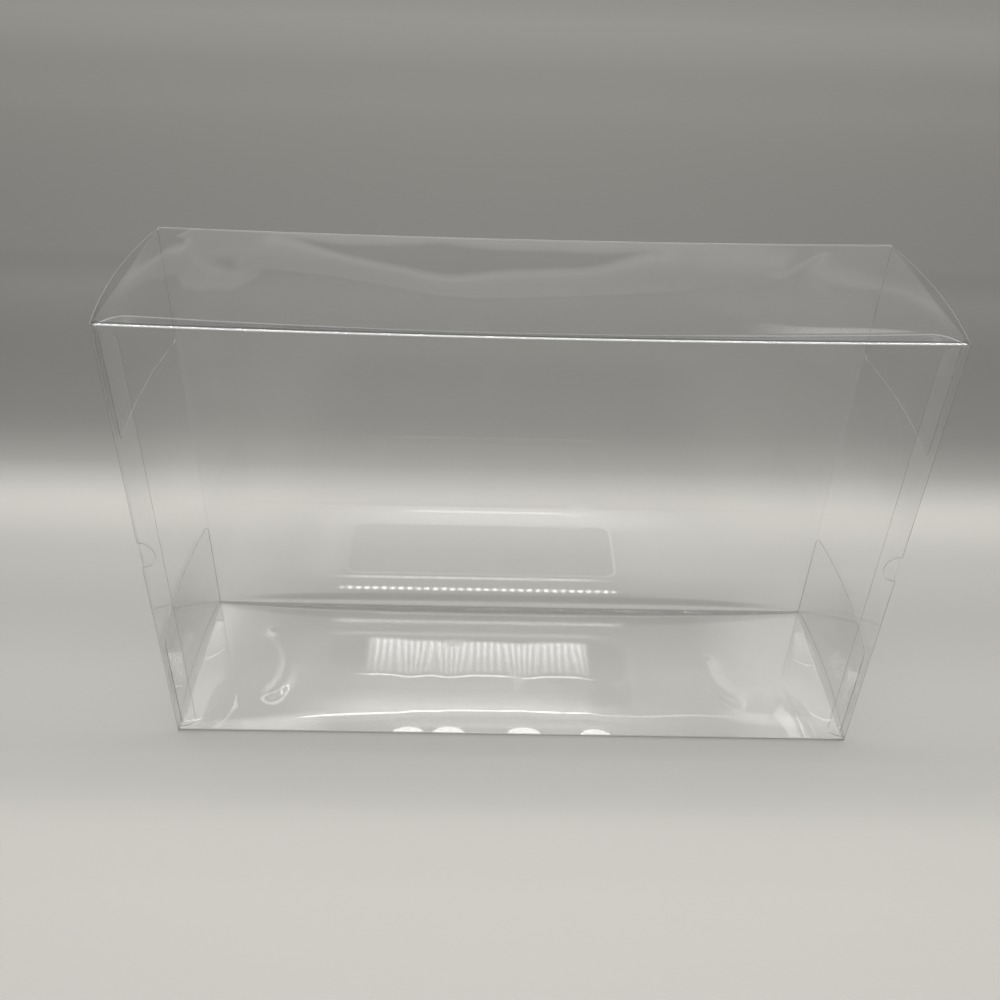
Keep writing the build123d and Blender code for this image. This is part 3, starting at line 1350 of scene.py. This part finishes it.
@dataclass(frozen=True)
class Studio:
    """The table, the lamps and the camera. The film mirrors a patch of the table with shade painted on
    it, which only its mirror sees.
    """

    mirrored_painted_shade: SoftPatch = SoftPatch((0.0, -0.10), (0.15, 0.17), (0.08, 0.06), 0.55)
    table_drop: float = 0.4 * MM
    table_size: float = 12.0
    window_offset: float = 0.045
    window_half: float = 0.235
    window_soft: float = 0.04
    room_tone: tuple[float, float, float, float] = (0.36, 0.36, 0.35, 1)
    table_tint: tuple[float, float, float] = (1.0, 0.972, 0.915)
    room_tint: tuple[float, float, float] = (0.99, 1.0, 0.975)
    lens: float = 37.61
    eye: tuple[float, float, float] = (-0.02053, -0.43784, 0.43155)
    pitch: float = math.radians(35.566)
    yaw: float = math.radians(1.360)
    roll: float = math.radians(1.925)

    def add_camera(self) -> None:
        """Stands the camera where it looks down at the carton's front."""
        forward = Vector(
            (
                math.sin(self.yaw) * math.cos(self.pitch),
                math.cos(self.yaw) * math.cos(self.pitch),
                -math.sin(self.pitch),
            )
        )
        level = Vector((math.cos(self.yaw), -math.sin(self.yaw), 0))
        upward = level.cross(forward)
        right = level * math.cos(self.roll) + upward * math.sin(self.roll)
        above = upward * math.cos(self.roll) - level * math.sin(self.roll)
        turn = Matrix((right, above, -forward)).transposed()
        camera = bpy.data.cameras.new("camera")
        camera.sensor_width = 36
        camera.lens = self.lens
        camera.clip_start = 0.01
        stand = bpy.data.objects.new("camera", camera)
        stand.matrix_world = Matrix.Translation(self.eye) @ turn.to_4x4()
        bpy.context.scene.collection.objects.link(stand)
        bpy.context.scene.camera = stand

    def add_table(self, mask: bpy.types.NodeTree) -> None:
        """Lays the pale table, with light near the carton and shade behind it painted into its colour.

        Args:
            mask: The node group that draws a soft patch.
        """
        clear_selection()
        bpy.ops.mesh.primitive_plane_add(size=self.table_size, location=(0, 2.5, -self.table_drop))
        table = bpy.context.object
        table.name = "table"
        bpy.ops.object.transform_apply(location=True, rotation=True, scale=True)
        material = bpy.data.materials.new("table_top")
        material.use_nodes = True
        tree = material.node_tree
        nodes, links = tree.nodes, tree.links
        shader = nodes["Principled BSDF"]
        shader.inputs["Roughness"].default_value = 0.9
        shader.inputs["Specular IOR Level"].default_value = 0.1
        place = nodes.new("ShaderNodeTexCoord")
        parts = nodes.new("ShaderNodeSeparateXYZ")
        links.new(place.outputs["Object"], parts.inputs["Vector"])
        near, far = TABLE_PAINTED_LIGHT_AND_SHADE[0][0], TABLE_PAINTED_LIGHT_AND_SHADE[-1][0]
        run = nodes.new("ShaderNodeMapRange")
        run.inputs["From Min"].default_value = near
        run.inputs["From Max"].default_value = far
        links.new(parts.outputs["Y"], run.inputs["Value"])
        stops = [((back - near) / (far - near), tone) for back, tone in TABLE_PAINTED_LIGHT_AND_SHADE]
        ramp = self.add_ramp(tree, "CARDINAL", stops, self.table_tint)
        links.new(run.outputs["Result"], ramp.inputs["Fac"])
        # Painted shade that only the film's mirror sees: a darker patch of table round the carton's
        # front, for mirrored rays
        shade = self.mirrored_painted_shade.light(tree, mask, place.outputs["Object"])
        mirrored = nodes.new("ShaderNodeLightPath").outputs["Is Glossy Ray"]
        seen = nodes.new("ShaderNodeMix")
        seen.data_type = "RGBA"
        seen.inputs["B"].default_value = (0, 0, 0, 1)
        links.new(maths(tree, "MULTIPLY", shade, mirrored), seen.inputs["Factor"])
        links.new(ramp.outputs["Color"], seen.inputs["A"])
        links.new(seen.outputs["Result"], shader.inputs["Base Color"])
        table.data.materials.append(material)

    @staticmethod
    def add_ramp(
        tree: bpy.types.NodeTree,
        interpolation: str,
        stops: Iterable[tuple[float, float]],
        tint: tuple[float, float, float],
    ) -> bpy.types.ShaderNode:
        """Adds a ramp of tones.

        Args:
            tree: The tree that it goes in.
            interpolation: How it runs from one tone to the next.
            stops: Each stop's place, from 0 to 1, and its tone.
            tint: The colour that every tone leans to.

        Returns:
            The ramp.
        """
        ramp = tree.nodes.new("ShaderNodeValToRGB")
        ramp.color_ramp.interpolation = interpolation
        elements = ramp.color_ramp.elements
        stops = list(stops)
        while len(elements) < len(stops):
            elements.new(0.5)
        for element, (place, tone) in zip(elements, stops):
            element.position = place
            element.color = (*[tone * share for share in tint], 1)
        return ramp

    def add_lamps(self) -> None:
        """Hangs a large soft lamp overhead and three strip lamps under it."""
        self.add_lamp("overhead", (0, 0.0, 1.7), (2.0, 1.6), 17)
        for count, y in enumerate((-0.02, 0.06, 0.16)):
            strip = self.add_lamp(f"strip_{count}", (0, y, 0.79), (1.2, 0.012), 1.4)
            strip.visible_glossy = True

    @staticmethod
    def add_lamp(
        name: str,
        place: tuple[float, float, float],
        size: tuple[float, float],
        power: float,
    ) -> bpy.types.Object:
        """Hangs one lamp that shines straight down.

        Args:
            name: Its name.
            place: Where it hangs.
            size: Its width and depth.
            power: Its power in watts.

        Returns:
            The lamp.
        """
        light = bpy.data.lights.new(name, "AREA")
        light.shape = "RECTANGLE"
        light.size, light.size_y = size
        light.energy = power
        lamp = bpy.data.objects.new(name, light)
        lamp.location = place
        lamp.visible_camera = False
        lamp.visible_glossy = False
        bpy.context.scene.collection.objects.link(lamp)
        return lamp

    def add_surroundings(self) -> None:
        """Gives the room an even tone, and what the film mirrors of it above the table."""
        world = bpy.data.worlds.new("room")
        bpy.context.scene.world = world
        world.use_nodes = True
        nodes, links = world.node_tree.nodes, world.node_tree.links
        background = nodes["Background"]
        background.inputs["Strength"].default_value = 1.0
        place = nodes.new("ShaderNodeTexCoord")
        parts = nodes.new("ShaderNodeSeparateXYZ")
        links.new(place.outputs["Generated"], parts.inputs["Vector"])
        off = maths(world.node_tree, "ADD", parts.outputs["X"], self.window_offset)
        aside = nodes.new("ShaderNodeMapRange")
        aside.interpolation_type = "SMOOTHSTEP"
        aside.inputs["From Min"].default_value = self.window_half - self.window_soft
        aside.inputs["From Max"].default_value = self.window_half + self.window_soft
        links.new(maths(world.node_tree, "ABSOLUTE", off), aside.inputs["Value"])
        both = nodes.new("ShaderNodeMix")
        both.data_type = "RGBA"
        links.new(aside.outputs["Result"], both.inputs["Factor"])
        for tones, socket in ((AHEAD_TONES, "A"), (ASIDE_TONES, "B")):
            ramp = self.add_ramp(world.node_tree, "LINEAR", tones, self.room_tint)
            links.new(parts.outputs["Z"], ramp.inputs["Fac"])
            links.new(ramp.outputs["Color"], both.inputs[socket])
        path = nodes.new("ShaderNodeLightPath")
        mix = nodes.new("ShaderNodeMix")
        mix.data_type = "RGBA"
        mix.inputs["A"].default_value = self.room_tone
        links.new(path.outputs["Is Glossy Ray"], mix.inputs["Factor"])
        links.new(both.outputs["Result"], mix.inputs["B"])
        links.new(mix.outputs["Result"], background.inputs["Color"])


def film_finishes() -> dict[Surface, FilmFinish]:
    """Returns the finish of each kind of surface."""
    white = (0.95, 0.95, 0.95)
    dark = (0.10, 0.10, 0.10)
    grey = (0.22, 0.23, 0.23)
    dull = (0.8, 0.78, 0.82)
    return {
        Surface.FILM: FilmFinish("clear_film", 0.010, white, 0.015, 1.0, 0.04),
        Surface.CUT_EDGE: FilmFinish("cut_edge", 0.60, grey, 0.2, 0.3, 0.0),
        # The creases' white veil is partly stress whitening and partly a painted highlight along the
        # folds
        Surface.CREASE: FilmFinish("creased_film", 0.35, white, 0.15, 0.3, 0.05),
        Surface.CREASE_EDGE: FilmFinish("creased_edge", 0.35, white, 0.15, 0.3, 0.0),
        Surface.GLUED: FilmFinish("glued_film", 0.03, dull, 0.05, 1.0, 0.05),
        Surface.GLUED_EDGE: FilmFinish("glued_edge", 0.75, white, 0.2, 0.2, 0.0),
        # The front foot's crease and its ends are painted dark, a painted shade line where the film
        # meets the table
        Surface.FOOT_CREASE: FilmFinish("foot_crease", 0.60, dark, 0.3, 0.0, 0.0),
        Surface.FOOT_EDGE: FilmFinish("foot_edge", 0.60, dark, 0.3, 0.0, 0.0),
        Surface.HINGE: FilmFinish("hinge_film", 0.04, white, 0.1, 0.8, 0.0),
        Surface.HINGE_EDGE: FilmFinish("hinge_edge", 0.05, white, 0.1, 0.8, 0.0),
    }


def main() -> None:
    """Builds the carton and its studio."""
    logging.basicConfig(level=logging.INFO)
    scene = bpy.context.scene
    scene.view_settings.view_transform = "Standard"
    # A line of sight crosses up to ten layers of film, and few reflections add to what it shows
    scene.cycles.transparent_max_bounces = 32
    scene.cycles.max_bounces = 3
    scene.cycles.diffuse_bounces = 1
    scene.cycles.glossy_bounces = 2
    studio = Studio()
    studio.add_camera()
    mask = soft_patch_group()
    studio.add_table(mask)
    studio.add_lamps()
    studio.add_surroundings()
    for panel in (CEILING, FLOOR):
        LOG.info("%s", panel.build(mask).name)

    marks = HandlingMarks().build()
    materials = {surface: finish.build(marks) for surface, finish in film_finishes().items()}
    Sleeve().build(materials)
    for side in Side:
        EndLid(side).build(materials)


if __name__ == "__main__":
    main()
